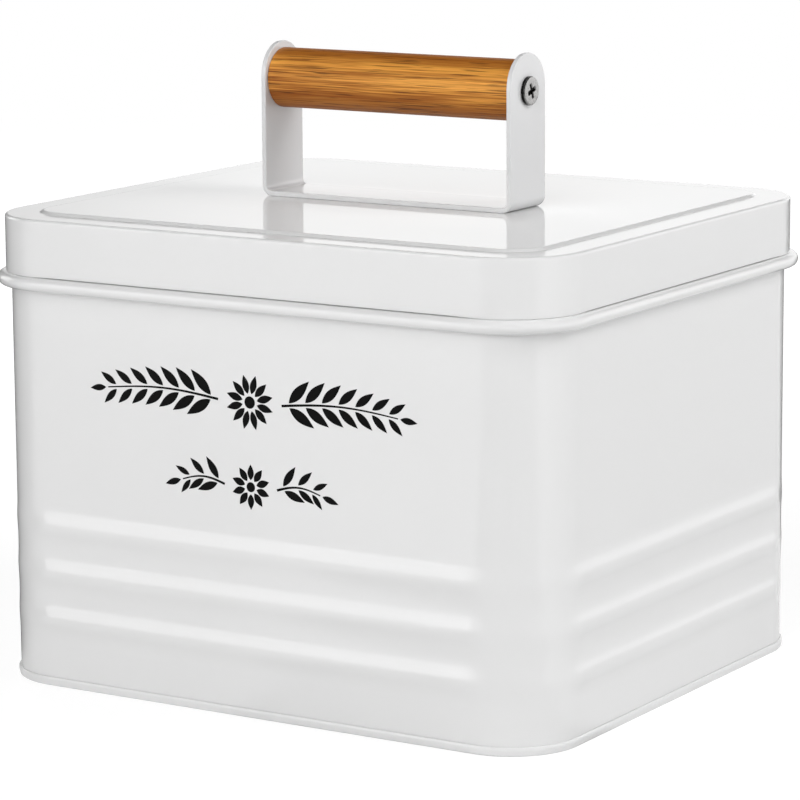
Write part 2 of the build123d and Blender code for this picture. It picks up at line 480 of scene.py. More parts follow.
def rounded(corners, closed=False, steps=6):
    """Points through (across, up, radius) corners, each turned by an arc of its radius."""
    points = []
    for index, (across, up, radius) in enumerate(corners):
        here = Vector((across, up))
        at_end = not closed and index in (0, len(corners) - 1)
        if at_end or not radius:
            points.append(here)
            continue
        back = (Vector(corners[index - 1][:2]) - here).normalized()
        on = (Vector(corners[(index + 1) % len(corners)][:2]) - here).normalized()
        opening = back.angle(on)
        centre = here + (back + on).normalized() * radius / math.sin(opening / 2)
        start = here + back * radius / math.tan(opening / 2) - centre
        turn = math.pi - opening
        if start.x * (here - centre).y - start.y * (here - centre).x < 0:
            turn = -turn
        count = max(2, round(steps * abs(turn) / (math.pi / 2)))
        for step in range(count + 1):
            spin = Matrix.Rotation(turn * step / count, 2)
            points.append(centre + spin @ start)
    return points


def supported(points, closed=False, reach=0.5 * MM):
    """The points, with one more near each end of every long straight run."""
    held = []
    count = len(points)
    for index, point in enumerate(points):
        held.append(point)
        if index == count - 1 and not closed:
            break
        on = points[(index + 1) % count] - point
        if on.length > 3 * reach:
            step = on.normalized() * reach
            held += [point + step, point + on - step]
    return held


def with_rows(points, heights):
    """The points, with one more at each height that an upright run passes."""
    held = []
    for index, point in enumerate(points):
        held.append(point)
        on = points[(index + 1) % len(points)] - point
        if abs(on.x) < WELD and abs(on.y) > MM:
            between = [h for h in heights if min(0, on.y) < h - point.y < max(0, on.y)]
            between.sort(reverse=on.y < 0)
            held += [Vector((point.x, h)) for h in between]
    return held


def section_mesh(name, points, closed):
    """A line mesh of a section, drawn outward in X and up in Y."""
    edges = [(i, i + 1) for i in range(len(points) - 1)]
    if closed:
        edges.append((len(points) - 1, 0))
    mesh = bpy.data.meshes.new(name)
    mesh.from_pydata([(p.x, p.y, 0) for p in points], edges, [])
    return mesh


def rectangle(name, half_width, low, high):
    """A mesh of one flat face, in X and Y."""
    corners = [(-half_width, low, 0), (half_width, low, 0), (half_width, high, 0), (-half_width, high, 0)]
    mesh = bpy.data.meshes.new(name)
    mesh.from_pydata(corners, [], [(0, 1, 2, 3)])
    return mesh


def swept_sheet(make, given):
    """Geometry nodes: the section hung from the tin's rounded plan and carried round it."""
    plan = make.result(
        "GeometryNodeCurvePrimitiveQuadrilateral", {"Width": given["Width"], "Height": given["Depth"]}
    )
    fillet = {"Curve": plan, "Count": 48, "Radius": given["Corner Radius"]}
    corners = make.result("GeometryNodeFilletCurve", fillet, mode="POLY")
    steps = {"Curve": corners, "Length": given["Spacing"]}
    path = make.result("GeometryNodeResampleCurve", steps, mode="LENGTH")
    upright = make.result("GeometryNodeSetCurveNormal", {"Curve": path}, mode="Z_UP")
    drawn = make.result("GeometryNodeMeshToCurve", {"Mesh": given["Section"]})
    hung = make.result("GeometryNodeTransform", {"Geometry": drawn, "Scale": (1, -1, 1)})
    return make.result("GeometryNodeCurveToMesh", {"Curve": upright, "Profile Curve": hung})


def rib_profile(make, given, height):
    """Geometry nodes: how far the nearest rib rises at a height, from none to one."""
    from_lowest = make.minus(height, given["Rib Lowest"])
    nearest = make.math("ROUND", make.over(from_lowest, given["Rib Pitch"]))
    row = make.most(make.least(nearest, make.minus(given["Rib Count"], 1)), 0)
    off_rib = make.math("ABSOLUTE", make.minus(from_lowest, make.times(row, given["Rib Pitch"])))
    across = make.math("DIVIDE", off_rib, make.over(given["Rib Width"], 2), clamp=True)
    crest = make.minus(1, make.over(make.times(across, across), given["Rib Crest"]))
    left = make.minus(1, across)
    foot = make.over(make.times(left, left), make.minus(1, given["Rib Crest"]))
    on_crest = make.math("LESS_THAN", across, given["Rib Crest"])
    return make.result("ShaderNodeMix", {0: on_crest, 2: foot, 3: crest})


def wrap_tree():
    """Geometry nodes: a section carried round the tin's plan, with pressed ribs and a lifted lower edge."""
    if "Sheet wrap" in bpy.data.node_groups:
        return bpy.data.node_groups["Sheet wrap"]
    inputs = {
        "Section": "Geometry", "Width": 0.2, "Depth": 0.175, "Corner Radius": 0.022, "Spacing": 0.002,
        "Rib Count": 0.0, "Rib Lowest": 0.0, "Rib Pitch": 1.0, "Rib Width": 1.0, "Rib Rise": 0.0,
        "Rib Crest": 0.5, "Rib Corner": 0.0, "Rib End": 0.008, "Lap Clear": 0.0,
        "Edge Lift": 0.0, "Edge Height": 0.0, "Edge Reach": 0.003, "Material": "Material",
    }
    outputs = {"Sheet": "Geometry"}
    tree, make, given, result = node_group("Sheet wrap", "GeometryNodeTree", inputs, outputs)
    swept = swept_sheet(make, given)

    # Outwards is away from a core that the corners turn round
    place = make.result("GeometryNodeInputPosition")
    x, y, z = make.axes(place)
    half_width = make.minus(make.over(given["Width"], 2), given["Corner Radius"])
    half_depth = make.minus(make.over(given["Depth"], 2), given["Corner Radius"])
    off_x = make.math("ABSOLUTE", x)
    off_y = make.math("ABSOLUTE", y)
    core_x = make.times(make.least(off_x, half_width), make.math("SIGN", x))
    core_y = make.times(make.least(off_y, half_depth), make.math("SIGN", y))
    core = make.combined(core_x, core_y, z)
    outward = make.vector("NORMALIZE", make.vector("SUBTRACT", place, core))

    # A rib fades from just before a corner to well round it, and stops beside the lap
    run = make.most(make.minus(half_width, off_x), make.minus(half_depth, off_y))
    fade_end = make.times(given["Rib End"], 0.25)
    fade_start = make.minus(fade_end, given["Rib End"])
    ends = make.ramp(run, fade_start, fade_end, low=given["Rib Corner"])
    lap_end = make.plus(given["Lap Clear"], given["Rib End"])
    beside_lap = make.ramp(off_x, given["Lap Clear"], lap_end)
    in_front = make.math("LESS_THAN", y, 0)
    strength = make.times(ends, make.most(beside_lap, in_front))
    height = make.times(rib_profile(make, given, z), strength, given["Rib Rise"])
    push = make.result("ShaderNodeVectorMath", {0: outward, "Scale": height}, operation="SCALE")
    pressed = make.result("GeometryNodeSetPosition", {"Geometry": swept, "Offset": push})

    # The lower edge is lifted along the flats and stays down at the corners
    edge_top = make.plus(given["Edge Height"], given["Edge Reach"])
    near_edge = make.ramp(z, given["Edge Height"], edge_top, low=1.0, high=0.0)
    on_flat = make.ramp(run, make.times(given["Rib End"], -0.5), given["Rib End"])
    lift = make.combined(z=make.times(near_edge, on_flat, given["Edge Lift"]))
    raised = make.result("GeometryNodeSetPosition", {"Geometry": pressed, "Offset": lift})
    smooth = make.result("GeometryNodeSetShadeSmooth", {"Geometry": raised})
    make.end_geometry(smooth, given["Material"], result[0])
    return tree


def by_socket(group, *labels):
    """A group's settings, under the names that a tree's sockets give them."""
    return {label.replace("_", " ").title(): getattr(group, label) for label in labels}


def wrapped(name, points, closed=False, more=None):
    """A sheet piece: its section carried round the tin, closed, turned outwards and enamelled."""
    sizes = bpy.context.scene.tin_sizes
    values = by_socket(sizes, "width", "depth", "corner_radius", "rib_end")
    values["Material"] = enamel_material()
    values.update(more or {})
    return shell_mesh(baked(section_mesh(name, points, closed), name, wrap_tree(), values))


def join_rings(work, rings, steps):
    """Faces between each ring of points and the next, either of which may be a single point."""
    for ring, following in zip(rings, rings[1:]):
        for step in range(steps):
            on = (step + 1) % steps
            corners = [ring[step % len(ring)], ring[on % len(ring)]]
            corners += [following[on % len(following)], following[step % len(following)]]
            work.faces.new(list(dict.fromkeys(corners)))


def turned(name, profile, steps, sunk=None):
    """A solid turned about X from (along, radius) points, with a recess where a function sinks it."""
    work = bmesh.new()
    rings = []
    for along, radius in profile:
        ring = []
        for step in range(steps if radius > ON_AXIS else 1):
            swing = math.tau * step / steps
            across, up = radius * math.cos(swing), radius * math.sin(swing)
            depth = sunk(along, across, up) if sunk else 0
            ring.append(work.verts.new((along - depth, across, up)))
        rings.append(ring)
    join_rings(work, rings, steps)
    return outward_mesh(work, bpy.data.meshes.new(name))


def new_material(name):
    """A material, its maker and the object's own coordinates."""
    material = bpy.data.materials.new(name)
    make = cleared(material)
    return material, make, make.node("ShaderNodeTexCoord").outputs["Object"]


def enamel_material(name="White enamel", tone=None):
    """Glossy stove enamel with a faint orange-peel surface."""
    if name in bpy.data.materials:
        return bpy.data.materials[name]
    finishes = bpy.context.scene.tin_finishes
    material, make, place = new_material(name)
    patches = make.noise(place, scale=14.0, detail=2.0)
    peel = make.noise(place, scale=260.0, detail=1.5)
    roughness = finishes.enamel_roughness
    make.coat(
        Base_Color=make.shaded(tone or finishes.enamel, make.spread(patches, 0.985, 1.0)),
        Roughness=make.spread(patches, roughness * 0.8, roughness * 1.2),
        Normal=make.bump(peel, strength=0.05, distance=0.1 * MM),
    )
    return material


def grain_group():
    """Shader group: long wood grain along X, as a tone, fine pores and a height."""
    inputs = {"Vector": "Vector", "Streak Scale": 800.0, "Fibre Scale": 2600.0, "Pore Scale": 1900.0}
    outputs = {"Tone": "Float", "Pores": "Float", "Height": "Float"}
    tree, make, given, result = node_group("Long grain", "ShaderNodeTree", inputs, outputs)

    def stretched(scale, along, detail):
        """Noise drawn out along X, where it has the given part of its scale."""
        size = make.combined(make.times(scale, along), scale, scale)
        return make.noise(make.vector("MULTIPLY", given["Vector"], size), 1.0, detail)

    streaks = stretched(given["Streak Scale"], along=0.015, detail=3.0)
    fibres = stretched(given["Fibre Scale"], along=0.02, detail=2.0)
    pores = stretched(given["Pore Scale"], along=0.03, detail=2.0)
    band_scale, band_share, pore_depth = 0.25, 0.35, 0.5
    bands = stretched(make.times(given["Streak Scale"], band_scale), along=0.06, detail=1.0)
    fine = make.plus(make.times(streaks, 0.5), make.times(fibres, 0.5))
    both = make.plus(make.times(fine, 1 - band_share), make.times(bands, band_share))
    dark = make.ramp(pores, start=0.56, end=0.66)
    make.feed(make.ramp(both, start=0.36, end=0.61), result["Tone"])
    make.feed(dark, result["Pores"])
    make.feed(make.minus(both, make.times(dark, pore_depth)), result["Height"])
    return tree


def wood_material():
    """Straight-grained wood, stained orange brown, with dark pores, a satin varnish and painted shade on
    its top and underside.
    """
    finishes = bpy.context.scene.tin_finishes
    material, make, place = new_material("Grip wood")
    centred = make.result("ShaderNodeMapping", {"Vector": place, "Location": (0, 0, -GRIP_AXIS)})
    grain = make.node("ShaderNodeGroup", {"Vector": centred}, node_tree=grain_group()).outputs
    radius = grip_high.y

    # Painted shade darkens the top and the underside, with an edge that follows the grain
    wander, pore_cover = 0.3 * radius, 0.7
    uneven = make.times(make.minus(grain["Tone"], 0.5), wander)
    level = make.plus(make.axes(centred)[2], uneven)
    top = make.ramp(level, start=0.75 * radius, end=0.9 * radius)
    under = make.ramp(level, start=-0.6 * radius, end=0.05 * radius, low=1.0, high=0.0)
    grip_painted_shade = make.times(make.most(top, under), finishes.wood_painted_shade)
    light = make.times(grain["Tone"], make.minus(1, grip_painted_shade))
    tone = make.mixed(light, finishes.wood_dark, finishes.wood_light)
    make.coat(
        Base_Color=make.mixed(make.times(grain["Pores"], pore_cover), tone, finishes.wood_pore),
        Roughness=make.ramp(grain["Tone"], 0, 1, low=0.55, high=0.42),
        Specular_IOR_Level=0.22,
        Normal=make.bump(grain["Height"], strength=0.25, distance=0.15 * MM),
    )
    return material


def steel_material():
    """Plated screw steel with faint marks, and painted shade that darkens the recess and the side of the
    head.
    """
    finishes = bpy.context.scene.tin_finishes
    material, make, place = new_material("Screw steel")
    marks = make.noise(place, scale=900.0, detail=3.0)
    face = strap_high.x + bpy.context.scene.tin_handle.head_height
    # Painted shade: the deeper a point lies below the head's face, the darker it is, which blackens the
    # recess and the side of the head
    sunk = make.minus(face, make.math("ABSOLUTE", make.axes(place)[0]))
    recess_painted_shade = make.ramp(sunk, start=0.12 * MM, end=0.6 * MM, low=1.0, high=0.04)
    make.coat(
        Base_Color=make.shaded(finishes.steel, make.times(make.spread(marks, 0.75, 1.0), recess_painted_shade)),
        Metallic=1.0,
        Roughness=make.spread(marks, 0.22, 0.36),
        Normal=make.bump(marks, strength=0.1, distance=0.05 * MM),
    )
    return material


def ink_material():
    """Black screen-printed ink, less glossy than the enamel."""
    material, make, place = new_material("Black print")
    cover = make.noise(place, scale=400.0, detail=2.0)
    make.coat(
        Base_Color=make.shaded(bpy.context.scene.tin_finishes.ink, make.spread(cover, 0.6, 1.0)),
        Roughness=make.spread(cover, 0.5, 0.6),
        Specular_IOR_Level=0.08,
    )
    return material


class TIN_OT_stage(bpy.types.Operator):
    """Set up the pale floor, the soft light and the camera"""

    bl_idname = "tin.stage"
    bl_label = "Stage"

    def execute(self, context):
        context.scene.view_settings.view_transform = "Standard"
        build_floor()
        build_world()
        build_lamps()
        build_camera()
        return {"FINISHED"}


def direction(turn, tilt=0.0):
    """The way out from the tin, at angles round from its front and up from level."""
    return Vector((math.sin(turn) * math.cos(tilt), -math.cos(turn) * math.cos(tilt), math.sin(tilt)))


def toward(make, way, turn, start, end):
    """A mask round a level direction, in degrees from the front, from the way to a place."""
    inputs = {0: way, 1: direction(math.radians(turn))}
    along = make.node("ShaderNodeVectorMath", inputs, operation="DOT_PRODUCT").outputs["Value"]
    return make.ramp(along, start, end)


def build_floor():
    """A wide pale floor that shows as white, takes the tin's shadow and is reflected dim in parts."""
    studio = bpy.context.scene.tin_studio
    floor = linked("Floor", rectangle("Floor", FLOOR_REACH, -FLOOR_REACH, FLOOR_REACH))
    material, make, place = new_material("Floor")
    off = make.node("ShaderNodeVectorMath", {0: place}, operation="LENGTH").outputs["Value"]
    glow = make.ramp(off, *GLOW_RISE, low=studio.floor_glow)
    near_tin = make.ramp(off, *SHADE_FADE, low=1.0, high=0.0)
    lit = [part * (1 - studio.floor_glow) * studio.floor_gain for part in studio.floor_colour]
    shadow = make.result("ShaderNodeBsdfDiffuse", {"Color": make.mixed(near_tin, (0, 0, 0), lit)})
    shine = make.result("ShaderNodeEmission", {"Color": WHITE, "Strength": glow})
    white = make.result("ShaderNodeAddShader", {0: shadow, 1: shine})

    # What the gloss reflects: dim to the left, before the tin and at the right edge, bright behind
    way = make.vector("NORMALIZE", place)
    right = make.times(toward(make, way, *RIGHT_FLOOR), studio.edge_dim)
    dim = make.most(toward(make, way, *LEFT_FLOOR), toward(make, way, *NEAR_FLOOR), right)
    behind = make.times(toward(make, way, *BACK_FLOOR), make.ramp(off, *LIFT_RISE))
    lift = make.times(behind, studio.back_card)
    mirrored = make.most(make.times(glow, make.minus(1, dim)), lift)
    mirror = make.result("ShaderNodeEmission", {"Color": WHITE, "Strength": mirrored})

    plain = make.result("ShaderNodeBsdfDiffuse", {"Color": (*studio.floor_colour, 1)})
    path = make.node("ShaderNodeLightPath").outputs
    by_gloss = make.most(path["Is Glossy Ray"], path["Is Transmission Ray"])
    unseen = make.result("ShaderNodeMixShader", {0: by_gloss, 1: plain, 2: mirror})
    make.surface(make.result("ShaderNodeMixShader", {0: path["Is Camera Ray"], 1: unseen, 2: white}))
    floor.data.materials.append(material)


def build_world():
    """Light from low round the tin, dim on the left and behind the camera, with white behind the tin."""
    studio = bpy.context.scene.tin_studio
    world = bpy.data.worlds.new("Studio")
    bpy.context.scene.world = world
    make = cleared(world)
    way = make.node("ShaderNodeTexCoord").outputs["Generated"]
    fade = (math.sin(math.radians(height)) for height in LOW_LIGHT)
    low = make.ramp(make.axes(way)[2], *fade, low=1.0, high=0.0)
    dim = make.most(toward(make, way, *LEFT_LIGHT), toward(make, way, *NEAR_LIGHT))
    around = make.ramp(dim, 0, 1, studio.horizon_light, studio.dim_light, smooth=False)
    light = make.result("ShaderNodeBackground", {"Strength": make.times(low, around)})
    white = make.result("ShaderNodeBackground", {"Color": WHITE, "Strength": 1.0})
    seen = make.node("ShaderNodeLightPath").outputs["Is Camera Ray"]
    both = make.result("ShaderNodeMixShader", {0: seen, 1: light, 2: white})
    make.node("ShaderNodeOutputWorld", {"Surface": both})


def away_from_tin(azimuth, elevation, distance):
    """A place at degrees round from the front and up from the middle of the tin."""
    return direction(math.radians(azimuth), math.radians(elevation)) * distance + MIDDLE


def facing_tin(place):
    """The turn of a lamp or card at a place, so that it faces the middle of the tin."""
    return (place - MIDDLE).to_track_quat("Z", "Y").to_euler()


def softbox(name, azimuth, elevation, distance, width, height, brightness):
    """An oblong lamp that faces the tin, and doesn't show in its gloss."""
    light = bpy.data.lights.new(name, "AREA")
    light.shape = "RECTANGLE"
    light.size = width
    light.size_y = height
    light.energy = brightness * width * height * math.pi
    lamp = linked(name, light)
    lamp.location = away_from_tin(azimuth, elevation, distance)
    lamp.rotation_euler = facing_tin(lamp.location)
    lamp.visible_glossy = False


def card(name, azimuth, full, brightness):
    """An upright card that shows only as a reflection in the gloss, and fades towards its lower edge."""
    board = linked(name, rectangle(name, CARD_WIDTH / 2, 0, CARD_HEIGHT))
    place = away_from_tin(azimuth, 0, CARD_DISTANCE)
    board.rotation_euler = facing_tin(place)
    board.location = (place.x, place.y, 0)
    for rays in ("camera", "diffuse", "transmission", "shadow", "volume_scatter"):
        setattr(board, "visible_" + rays, False)
    material, make, on_card = new_material(name)
    fading = make.ramp(make.axes(on_card)[1], 0, full, high=brightness)
    make.surface(make.result("ShaderNodeEmission", {"Strength": fading}))
    board.data.materials.append(material)


def build_lamps():
    """The softboxes, and the cards that light up the ribs."""
    studio = bpy.context.scene.tin_studio
    for name, brightness, *place in SOFTBOXES:
        softbox(name, *place, getattr(studio, brightness))
    for name, brightness, *place in CARDS:
        card(name, *place, getattr(studio, brightness))


def build_camera():
    """The camera, at the photograph's viewing angle."""
    studio = bpy.context.scene.tin_studio
    back = direction(studio.azimuth, studio.elevation)
    right = (-back).cross(Vector((0, 0, 1))).normalized()
    up = right.cross(-back)
    side = right * math.cos(studio.roll) + up * math.sin(studio.roll)
    top = up * math.cos(studio.roll) - right * math.sin(studio.roll)
    aim = Vector((studio.aim_side, 0, studio.aim_height))
    data = bpy.data.cameras.new("Camera")
    data.lens = studio.lens
    data.clip_end = 50
    camera = linked("Camera", data)
    turn = Matrix((side, top, back)).transposed().to_4x4()
    camera.matrix_world = Matrix.Translation(aim + back * studio.distance) @ turn
    bpy.context.scene.camera = camera


class TIN_OT_wall(bpy.types.Operator):
    """Build the ribbed wall with its bead, neck and back lap"""

    bl_idname = "tin.wall"
    bl_label = "Wall"

    def execute(self, context):
        sizes = context.scene.tin_sizes
        sheet = sizes.sheet
        shoulder = sizes.shoulder
        rim = wall_high.z
        bead_reach = wall_high.x - sizes.width / 2
        bead_low = shoulder - sizes.bead_height
        nose = sizes.bead_height / 2
        hem_low = rim - sizes.neck_hem
        hem_round = sheet * EDGE_ROUND
        corners = [
            (0, sheet, 0),
            (0, bead_low, sizes.bead_root),
            (bead_reach, bead_low, nose),
            (bead_reach, shoulder, nose),
            (0, shoulder, sizes.bead_crook),
            (0, rim, hem_round),
            (-2 * sheet, rim, hem_round),
            (-2 * sheet, hem_low, hem_round / 2),
            (-sheet, hem_low, 0),
            (-sheet, shoulder - sheet, sizes.bead_crook + sheet),
            (bead_reach - sheet, shoulder - sheet, nose - sheet),
            (bead_reach - sheet, bead_low + sheet, nose - sheet),
            (-sheet, bead_low + sheet, sizes.bead_root + sheet),
            (-sheet, sheet, 0),
        ]
        section = supported(rounded(corners, closed=True, steps=8), closed=True)
        section = with_rows(section, rib_rows(sizes))
        ribs = ("rib_lowest", "rib_pitch", "rib_width", "rib_rise", "rib_crest", "rib_corner")
        more = by_socket(sizes, *ribs)
        more["Rib Count"] = float(sizes.rib_count)
        more["Lap Clear"] = sizes.lap_width / 2 + sizes.lap_clear
        mesh = wrapped("Wall_skin", section, closed=True, more=more)
        placed("Wall_skin", mesh, "tin", ["tin_wall"])
        placed("Back_lap", lap_mesh(sizes, bead_low), "tin")
        return {"FINISHED"}


def rib_rows(sizes, steps=16):
    """Heights of the rows of points that carry the ribs."""
    rows = set()
    for rib in range(sizes.rib_count):
        middle = sizes.rib_lowest + rib * sizes.rib_pitch
        rows.update(middle + sizes.rib_width * (step / steps - 0.5) for step in range(steps + 1))
    return sorted(rows)


def lap_mesh(sizes, top):
    """The outer end of the wrapped sheet, lying on the wall down the middle of the back."""
    low = sizes.base_rim + SEAM
    inner = (sizes.depth - sizes.sheet) / 2
    outer = sizes.depth / 2 + sizes.sheet
    work = bmesh.new()
    bmesh.ops.create_cube(work, size=1)
    bmesh.ops.scale(work, vec=(sizes.lap_width, outer - inner, top - low), verts=work.verts)
    bmesh.ops.translate(work, vec=(0, (outer + inner) / 2, (top + low) / 2), verts=work.verts)
    mesh = outward_mesh(work, bpy.data.meshes.new("Back_lap"))
    mesh.materials.append(enamel_material())
    bevel = {"width": sizes.sheet * EDGE_ROUND, "segments": 4, "harden_normals": True}
    return finished("Back_lap", mesh, [("BEVEL", bevel)])


class TIN_OT_base(bpy.types.Operator):
    """Build the bottom pan and its folded rim"""

    bl_idname = "tin.base"
    bl_label = "Base"

    def execute(self, context):
        sizes = context.scene.tin_sizes
        sheet = sizes.sheet
        recess, rim = sizes.base_recess, sizes.base_rim
        inside = -sheet - SEAM
        outside = SEAM + sheet
        middle = sheet / 2 - sizes.corner_radius
        fold = sheet * 0.8
        bulge = sheet * 0.3
        swell = rim * 0.55
        corners = [
            (middle, recess + sheet, 0),
            (inside, recess + sheet, fold),
            (inside, sheet, fold / 8),
            (SEAM, sheet, fold / 8),
            (SEAM, rim - fold, fold / 4),
            (outside - bulge, rim, fold),
            (outside + bulge, swell, 4 * fold),
            (outside - bulge, 0, fold),
            (inside - sheet, 0, fold),
            (inside - sheet, recess, fold / 2),
            (middle, recess, 0),
        ]
        mesh = wrapped("Base_pan", supported(rounded(corners)))
        placed("Base_pan", mesh, "tin", ["base_panel"])
        return {"FINISHED"}


class TIN_OT_lid(bpy.types.Operator):
    """Build the lid with its raised panel, skirt and hem"""

    bl_idname = "tin.lid"
    bl_label = "Lid"

    def execute(self, context):
        sizes = context.scene.tin_sizes
        lid = context.scene.tin_lid
        sheet = sizes.sheet
        outside = lid_high.x - sizes.width / 2
        foot = outside - lid.panel_inset
        middle = sheet / 2 - sizes.corner_radius
        panel, low = lid_high.z, lid_low.z
        hem_top = low + lid.hem
        hem_round = sheet * EDGE_ROUND
        slope = math.atan2(panel - lid.top, lid.panel_run)
        drop = sheet * math.tan(slope / 2)
        under = lid.top - sheet
        corners = [
            (middle, panel, 0),
            (foot - lid.panel_run, panel, lid.panel_round),
            (foot, lid.top, lid.panel_round / 2),
            (outside, lid.top, lid.edge_radius),
            (outside, low, hem_round),
            (outside - 2 * sheet, low, hem_round),
            (outside - 2 * sheet, hem_top, hem_round),
            (outside - sheet, hem_top, 0),
            (outside - sheet, under, lid.edge_radius - sheet / 2),
            (foot - drop, under, lid.panel_round / 2),
            (foot - lid.panel_run - drop, panel - sheet, lid.panel_round / 2),
            (middle, panel - sheet, 0),
        ]
        rows = [low + lid.hem * step / 4 for step in range(1, 5)]
        section = with_rows(supported(rounded(corners, steps=10)), rows)
        edge = {"Edge Lift": lid.skirt_lift, "Edge Height": low, "Edge Reach": lid.hem}
        mesh = wrapped("Lid_shell", section, more=edge)
        placed("Lid_shell", mesh, "lid", ["lid"])
        return {"FINISHED"}


class TIN_OT_strap(bpy.types.Operator):
    """Build the bent strap that carries the grip"""

    bl_idname = "tin.strap"
    bl_label = "Handle strap"

    def execute(self, context):
        mesh = strap_mesh(context.scene.tin_handle)
        placed("Strap", mesh, "lid", ["handle_bracket"])
        return {"FINISHED"}


def strap_mesh(handle):
    """The strap as a flat blank with round, bored ends, bent to a U and thickened."""
    half = handle.strap / 2
    side = strap_high.x - half
    foot = strap_low.z + half
    turn = handle.bend + half
    straight = side - turn
    bent = turn * math.pi / 2
    width = strap_high.y
    axis = straight + bent + (GRIP_AXIS - foot - turn)
    bore = handle.screw_bore / 2
    round_rise = strap_high.z - width - GRIP_AXIS

    def reach_at(across, along):
        """From the bore to the ear's edge, in a direction across and along the blank."""
        rise = round_rise * along
        reach = rise + math.sqrt(rise * rise + width * width - round_rise * round_rise)
        if reach * along < round_rise:
            reach = width / max(abs(across), abs(along) if along < 0 else 0)
        return reach

    def bent_place(along, across):
        """Where a point of the flat blank lies once the strap is bent."""
        sign = math.copysign(1, along)
        run = abs(along)
        if run <= straight:
            return Vector((along, across, foot))
        if run <= straight + bent:
            swing = (run - straight) / turn
            out = straight + turn * math.sin(swing)
            return Vector((sign * out, across, foot + turn * (1 - math.cos(swing))))
        return Vector((sign * side, across, foot + turn + run - straight - bent))

    # Rows of points along half of the blank: its foot, a bend, and the ear up to where the rings begin
    spokes, foot_steps, bend_steps, ear_steps = 48, 12, 12, 4
    ring_shares = (0, 0.5, 0.92, 1)
    ear_end = axis - width
    ear_run = ear_end - straight - bent
    rows = [straight * step / foot_steps for step in range(foot_steps)] + [straight - half]
    rows += [straight + bent * step / bend_steps for step in range(bend_steps + 1)]
    rows += [straight + bent + half]
    rows += [ear_end - ear_run * (1 - step / ear_steps) for step in range(1, ear_steps)] + [ear_end]
    rows = [-row for row in reversed(rows[1:])] + rows

    # The columns meet the spokes round the bore
    work = bmesh.new()
    eighth = math.pi / 4
    gaps = spokes // 4
    columns = [width * math.tan(-eighth + 2 * eighth * step / gaps) for step in range(gaps + 1)]
    grid = [[work.verts.new(bent_place(row, column)) for column in columns] for row in rows]
    for line, following in zip(grid, grid[1:]):
        for step in range(gaps):
            work.faces.new((line[step], line[step + 1], following[step + 1], following[step]))
    for sign in (-1, 1):
        rings = []
        for ring_share in ring_shares:
            ring = []
            for spoke in range(spokes):
                swing = math.tau * spoke / spokes
                across, along = math.cos(swing), math.sin(swing)
                radius = bore + (reach_at(across, along) - bore) * ring_share
                ring.append(work.verts.new(bent_place(sign * (axis + radius * along), radius * across)))
            rings.append(ring)
        join_rings(work, rings, spokes)
    bmesh.ops.remove_doubles(work, verts=work.verts, dist=WELD)
    mesh = outward_mesh(work, bpy.data.meshes.new("Strap"))
    # The strap takes a darker copy of the white enamel, as painted shade
    mesh.materials.append(enamel_material("Strap paint", bpy.context.scene.tin_finishes.strap_shaded_enamel))
    thickness = {"thickness": handle.strap, "offset": 0, "use_even_offset": True}
    edges = {"width": handle.strap_edge, "segments": 4, "angle_limit": math.radians(60)}
    modifiers = [("SOLIDIFY", thickness), ("BEVEL", edges), ("WEIGHTED_NORMAL", {"weight": 80})]
    return finished("Strap", mesh, modifiers)


class TIN_OT_grip(bpy.types.Operator):
    """Build the turned wooden grip"""

    bl_idname = "tin.grip"
    bl_label = "Grip"

    def execute(self, context):
        handle = context.scene.tin_handle
        half = grip_high.x
        bore = handle.pilot / 2
        pilot_end = half - handle.pilot_depth
        side = [(pilot_end, 0, 0), (pilot_end, bore, 0), (half, bore, 0)]
        side += [(half, grip_high.y, handle.grip_edge)]
        mirrored = [(-along, off, turn) for along, off, turn in reversed(side)]
        profile = supported(rounded(side + mirrored, steps=5))
        mesh = turned("Grip", profile, steps=128)
        mesh.transform(Matrix.Translation((0, 0, GRIP_AXIS)))
        mesh.materials.append(wood_material())
        placed("Grip", mesh, "lid", ["handle_grip"])
        return {"FINISHED"}


class TIN_OT_screws(bpy.types.Operator):
    """Build the two pan-head screws"""

    bl_idname = "tin.screws"
    bl_label = "Screws"

    def execute(self, context):
        screw = screw_mesh(context.scene.tin_handle)
        values = {"Reach": strap_high.x, "Height": GRIP_AXIS, "Material": steel_material()}
        mesh = baked(screw, "Screws", pair_tree(), values)
        placed("Screws", mesh, "lid", ["handle_screw_left", "handle_screw_right"])
        return {"FINISHED"}


def pair_tree():
    """Geometry nodes: one fastener set at both ends of the handle, heads outwards."""
    inputs = {"Screw": "Geometry", "Reach": 0.046, "Height": 0.188, "Material": "Material"}
    outputs = {"Screws": "Geometry"}
    tree, make, given, result = node_group("Screw pair", "GeometryNodeTree", inputs, outputs)
    start = make.combined(x=given["Reach"], z=given["Height"])
    step = make.combined(x=make.times(given["Reach"], -2))
    ends = make.result("GeometryNodeMeshLine", {"Count": 2, "Start Location": start, "Offset": step})
    turn = make.combined(z=make.times(make.result("GeometryNodeInputIndex"), math.pi))
    fasteners = {"Points": ends, "Instance": given["Screw"], "Rotation": turn}
    pair = make.result("GeometryNodeInstanceOnPoints", fasteners)
    make.end_geometry(pair, given["Material"], result[0])
    return tree


